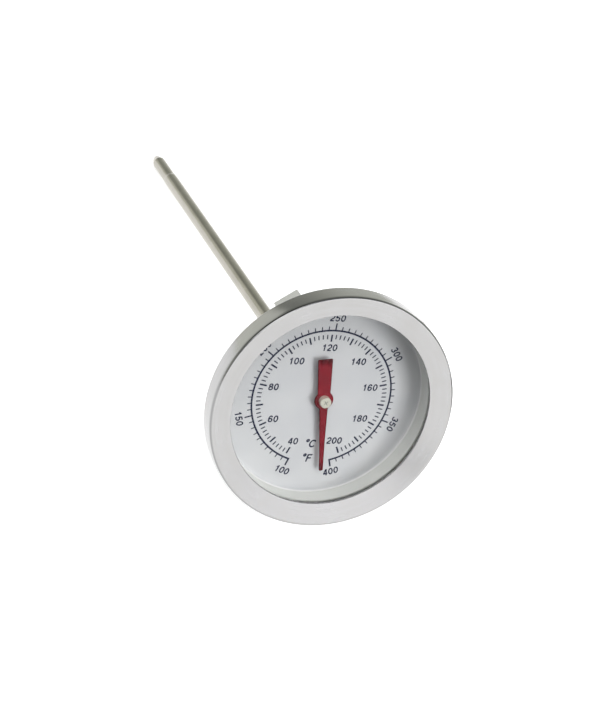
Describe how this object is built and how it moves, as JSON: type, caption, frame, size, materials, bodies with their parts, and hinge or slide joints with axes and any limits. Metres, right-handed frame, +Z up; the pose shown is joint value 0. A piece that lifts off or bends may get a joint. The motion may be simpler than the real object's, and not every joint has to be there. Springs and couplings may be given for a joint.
{
  "type": "dial thermometer",
  "caption": "Round dial thermometer with a long thin stem, a red pointer over a clockwise scale behind glass, and a sliding clip that holds it on the wall of a pan or tray.",
  "frame": {"origin": "on the surface that the thermometer lies on, at the centre of its footprint", "axes": "+Z up; +Y towards the stem's end, along the surface; the dial faces -Y and leans back, with its 12 o'clock up and its 3 o'clock to +X"},
  "size_m": [0.0578, 0.1678, 0.0577],
  "materials": {
    "bezel_steel": "spun satin with a bright rolled edge",
    "case_steel": "drawn satin",
    "glass": "clear, flat, polished",
    "gasket": "matt translucent silicone",
    "wall_steel": "brushed along its circle",
    "dial_face": "semi-matt pale grey, printed in navy",
    "pressed_steel": "as pressed",
    "stem_steel": "drawn, brushed along its length",
    "shaft_steel": "ground",
    "brass": "turned",
    "bimetal": "rolled strip",
    "pointer_red": "gloss red paint",
    "bush_metal": "turned, pale, with a staking mark",
    "clip_steel": "bright spring sheet"
  },
  "bodies": {
    "head": {"case": "case_steel", "bezel_ring": "bezel_steel", "lens": "glass", "lens_gasket": "gasket", "spacer_ring": "wall_steel", "dial_plate": "dial_face", "dial_carrier": "pressed_steel", "back_washer": "pressed_steel", "ferrule_seal": "gasket", "stem_ferrule": "stem_steel", "stem_tube": "stem_steel", "tip_plug": "stem_steel", "helix_anchor": "brass", "bimetal_helix": "bimetal", "upper_bearing": "brass", "guide_bush_1": "brass", "guide_bush_2": "brass"},
    "movement": {"pointer": "pointer_red", "pointer_bush": "bush_metal", "pointer_shaft": "shaft_steel", "helix_collar": "brass"},
    "grip": {"clip_sleeve": "clip_steel"},
    "clip": {"pan_clip": "clip_steel"}
  },
  "joints": [
    {"name": "pointer_turn", "type": "hinge", "parent": "head", "child": "movement", "pos_m": [0, -0.07144, 0.02802], "axis": [0, 0.9853, -0.1707], "range_deg": [-47, 353], "stiffness_Nm_per_rad": 0.0001},
    {"name": "clip_slide", "type": "slide", "parent": "head", "child": "grip", "axis": [0, 0.9853, -0.1707], "range_m": [-0.011, 0.096]},
    {"name": "clip_turn", "type": "hinge", "parent": "grip", "child": "clip", "pos_m": [0, -0.03873, 0.02236], "axis": [0, 0.9853, -0.1707], "continuous": true}
  ]
}
